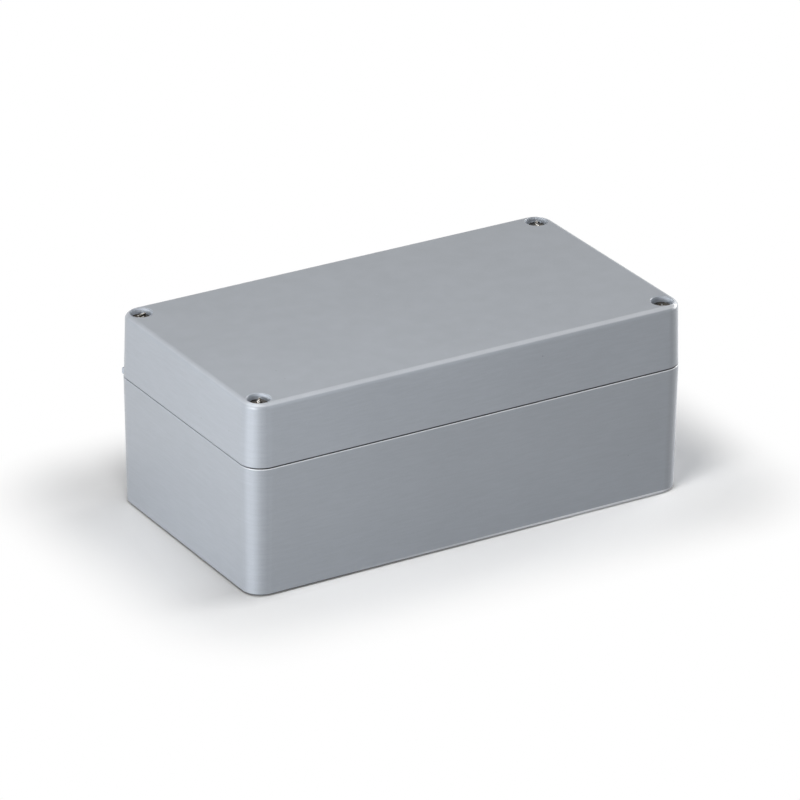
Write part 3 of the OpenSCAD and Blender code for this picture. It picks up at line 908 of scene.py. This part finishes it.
class ENCLOSURE_OT_fit_earth_terminals(bpy.types.Operator):
    """Fits the earth screw and its two washers in the base and in the lid"""

    bl_idname = "enclosure.fit_earth_terminals"
    bl_label = "Fit Earth Terminals"

    def execute(self, context):
        screws = context.scene.enclosure_screws
        plate = named_material("plated_steel", plated_steel)
        for casting in CASTINGS:
            body = f"{casting}_body"
            low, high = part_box(f"{casting}_earth_screw")
            middle = (low + high) / 2
            hangs = casting == "lid"
            seat_z = low.z + screws.head_height if hangs else high.z - screws.head_height
            seat = Vector((middle.x, middle.y, seat_z))
            thread = high.z - low.z - screws.head_height - TERMINAL_NECK
            fit_screw(f"{casting}_earth_screw", f"{casting}_terminal_screw", body, seat,
                      (TERMINAL_NECK, thread), TERMINAL_TURN, plate, hangs)
            for part in ("washer", "spring_washer"):
                soft_edged(f"{casting}_earth_{part}", f"{casting}_terminal_{part}", WASHER_EDGE,
                           plate, body)
        return {"FINISHED"}


FLOOR_REACH = 12.0  # in metres
NEAR_REACH = 50 * MM  # how far out the floor has a painted shadow
PLAIN_START = 0.25  # share of the shadow's reach at which the floor starts to turn white
SENSOR_WIDTH = 36  # in millimetres
FAR_CLIP = 100  # in metres

# Name, size in metres, level, bearing and height in degrees, and distance in metres. A fill isn't
# seen in gloss.
LAMPS = (
    ("key_softbox", (0.2, 0.2), 0.36, 222, 58, 0.58),
    ("strip_light", (1.4, 0.5), 0.05, -90, 70, 1.2),
    ("left_softbox", (0.5, 0.3), 0.46, 195, 10, 1.3),
    ("corner_softbox", (0.2, 0.15), 0.25, 213, 8, 0.7),
    ("right_softbox", (0.45, 0.45), 0.10, 20, 28, 1.3),
    ("low_right_softbox", (0.8, 0.5), 0.74, -3, 12, 1.3),
    ("back_fill", (0.9, 0.9), 0.08, 118, 34, 1.3),
)


class ENCLOSURE_OT_set_stage(bpy.types.Operator):
    """Lays the floor, hangs the lamps and sets up the camera"""

    bl_idname = "enclosure.set_stage"
    bl_label = "Set Stage"

    def execute(self, context):
        stage = context.scene.enclosure_stage
        context.scene.view_settings.view_transform = "Standard"
        lay_floor(stage)
        light_sky(context.scene)
        for lamp in LAMPS:
            hang_lamp(stage.light, *lamp)
        set_camera(context.scene, stage)
        return {"FINISHED"}


def seen_directly(tree):
    """1 for rays that look straight at a thing or see it in gloss or glass, and 0 for light."""
    path = add(tree, "ShaderNodeLightPath").outputs
    rays = [path[f"Is {kind} Ray"] for kind in ("Camera", "Glossy", "Transmission")]
    return maths(tree, "MINIMUM", total(tree, *rays), 1.0)


def floor_shade(tree, place, apart):
    """Share of its tone that the floor loses to a painted shadow close to the object, most of it
    on the left.
    """
    x, y, _ = add(tree, "ShaderNodeSeparateXYZ", {0: place}).outputs
    on_left = product(tree, ramp(tree, y, 50 * MM, -40 * MM, 0.18, 0.42),
                      ramp(tree, y, -48 * MM, -66 * MM, 1, 0.25))
    elsewhere = product(tree, ramp(tree, y, -30 * MM, -60 * MM, 0.02, 0.13),
                        ramp(tree, x, 20 * MM, 110 * MM, 1, 0))
    near = ramp(tree, apart, 0.0, NEAR_REACH, 1, 0)
    return product(tree, near, near, ramp(tree, x, -60 * MM, -110 * MM, elsewhere, on_left))


def floor_material(stage):
    """Pale and matt with a soft shadow, partly rendered and partly painted, white where it is seen
    far out and clear from below.
    """
    material = bpy.data.materials.new("pale_floor")
    material.use_nodes = True
    tree = material.node_tree
    tree.nodes.clear()
    seen = seen_directly(tree)
    place = add(tree, "ShaderNodeTexCoord").outputs["Object"]
    apart = distance_outside(tree, place, CAD_BOX[1])
    bright = product(tree, maths(tree, "SUBTRACT", 1.0, floor_shade(tree, place, apart)),
                     stage.floor_tone * stage.floor_gain)
    tone = ramp(tree, seen, 0.0, 1.0, stage.floor_tone, bright)
    matt = add(tree, "ShaderNodeBsdfDiffuse", {"Color": point(tree, tone, tone, tone)})
    inputs = {
        "Value": apart,
        "From Min": PLAIN_START * stage.shadow_reach,
        "From Max": stage.shadow_reach,
    }
    plain = add(tree, "ShaderNodeMapRange", inputs, interpolation_type="SMOOTHSTEP")
    far_out = product(tree, plain.outputs["Result"], seen)
    white = add(tree, "ShaderNodeEmission", {"Strength": 1.0})
    inputs = {0: far_out, 1: matt.outputs[0], 2: white.outputs[0]}
    from_above = add(tree, "ShaderNodeMixShader", inputs)
    below = add(tree, "ShaderNodeNewGeometry").outputs["Backfacing"]
    clear = add(tree, "ShaderNodeBsdfTransparent")
    inputs = {0: below, 1: from_above.outputs[0], 2: clear.outputs[0]}
    both_sides = add(tree, "ShaderNodeMixShader", inputs)
    add(tree, "ShaderNodeOutputMaterial", {"Surface": both_sides.outputs[0]})
    return material


def lay_floor(stage):
    """A wide floor that keeps the object's soft shadow."""
    signs = ((-1, -1), (1, -1), (1, 1), (-1, 1))
    mesh = bpy.data.meshes.new("floor")
    mesh.from_pydata([(x * FLOOR_REACH, y * FLOOR_REACH, 0) for x, y in signs], [], [(0, 1, 2, 3)])
    mesh.materials.append(floor_material(stage))
    floor = bpy.data.objects.new("floor", mesh)
    bpy.context.scene.collection.objects.link(floor)


def light_sky(scene):
    """A sky that is white where it is seen and gives no light of its own."""
    world = bpy.data.worlds.new("sky")
    scene.world = world
    world.use_nodes = True
    tree = world.node_tree
    tree.nodes.clear()
    inputs = {"Color": (1, 1, 1, 1), "Strength": seen_directly(tree)}
    sky = add(tree, "ShaderNodeBackground", inputs)
    add(tree, "ShaderNodeOutputWorld", {"Surface": sky.outputs[0]})


def hang_lamp(light, name, size, level, bearing, height, distance):
    """A soft rectangular lamp that faces the object from a bearing and a height in degrees.

    Its level is the share of full light that it gives to a surface at the object facing it.
    """
    lamp = bpy.data.lights.new(name, "AREA")
    lamp.shape = "RECTANGLE"
    lamp.size, lamp.size_y = size
    lamp.energy = light * level * math.pi ** 2 * distance ** 2
    turn, rise = math.radians(bearing), math.radians(height)
    aside, above = distance * math.cos(rise), distance * math.sin(rise)
    away = Vector((aside * math.cos(turn), aside * math.sin(turn), above))
    holder = bpy.data.objects.new(name, lamp)
    holder.visible_glossy = not name.endswith("fill")
    middle = Vector((0, 0, TOP / 2))
    facing = away.to_track_quat("Z", "Y").to_matrix().to_4x4()
    holder.matrix_world = Matrix.Translation(middle + away) @ facing
    bpy.context.scene.collection.objects.link(holder)


def set_camera(scene, stage):
    """A long lens that looks down on the front left corner."""
    turn, rise, roll = stage.azimuth, stage.elevation, stage.roll
    aside, above = math.cos(rise), math.sin(rise)
    back = Vector((aside * math.sin(turn), -aside * math.cos(turn), above))
    level = Vector((math.cos(turn), math.sin(turn), 0))
    upright = back.cross(level)
    right = math.cos(roll) * level + math.sin(roll) * upright
    up = math.cos(roll) * upright - math.sin(roll) * level
    lens = bpy.data.cameras.new("camera")
    lens.sensor_width = SENSOR_WIDTH
    lens.lens = stage.lens
    lens.clip_end = FAR_CLIP
    camera = bpy.data.objects.new("camera", lens)
    place = stage.distance * back - stage.aim_left * right + stage.aim_up * up
    facing = Matrix((right, up, back)).transposed().to_4x4()
    camera.matrix_world = Matrix.Translation(place) @ facing
    scene.collection.objects.link(camera)
    scene.camera = camera


class ENCLOSURE_PT_sidebar(bpy.types.Panel):
    """Lists the steps that finish the enclosure, with their settings"""

    bl_label = "Die Cast Enclosure"
    bl_idname = "ENCLOSURE_PT_sidebar"
    bl_space_type = "VIEW_3D"
    bl_region_type = "UI"
    bl_category = "Enclosure"

    def draw(self, context):
        for step in STEPS:
            self.layout.operator(step.bl_idname)
        for group in (context.scene.enclosure_coat, context.scene.enclosure_screws,
                      context.scene.enclosure_stage):
            box = self.layout.box()
            for name in group.__annotations__:
                box.prop(group, name)


SETTINGS = (CoatSettings, ScrewSettings, StageSettings)
STEPS = (
    ENCLOSURE_OT_coat_castings,
    ENCLOSURE_OT_fit_seal,
    ENCLOSURE_OT_fit_lid_screws,
    ENCLOSURE_OT_fit_earth_terminals,
    ENCLOSURE_OT_set_stage,
)
CLASSES = (*SETTINGS, *STEPS, ENCLOSURE_PT_sidebar)


def register():
    for item in CLASSES:
        bpy.utils.register_class(item)
    bpy.types.Scene.enclosure_coat = PointerProperty(type=CoatSettings)
    bpy.types.Scene.enclosure_screws = PointerProperty(type=ScrewSettings)
    bpy.types.Scene.enclosure_stage = PointerProperty(type=StageSettings)


def unregister():
    del bpy.types.Scene.enclosure_stage
    del bpy.types.Scene.enclosure_screws
    del bpy.types.Scene.enclosure_coat
    for item in reversed(CLASSES):
        bpy.utils.unregister_class(item)


def main():
    register()
    bpy.ops.enclosure.coat_castings()
    bpy.ops.enclosure.fit_seal()
    bpy.ops.enclosure.fit_lid_screws()
    bpy.ops.enclosure.fit_earth_terminals()
    bpy.ops.enclosure.set_stage()


if __name__ == "__main__":
    main()
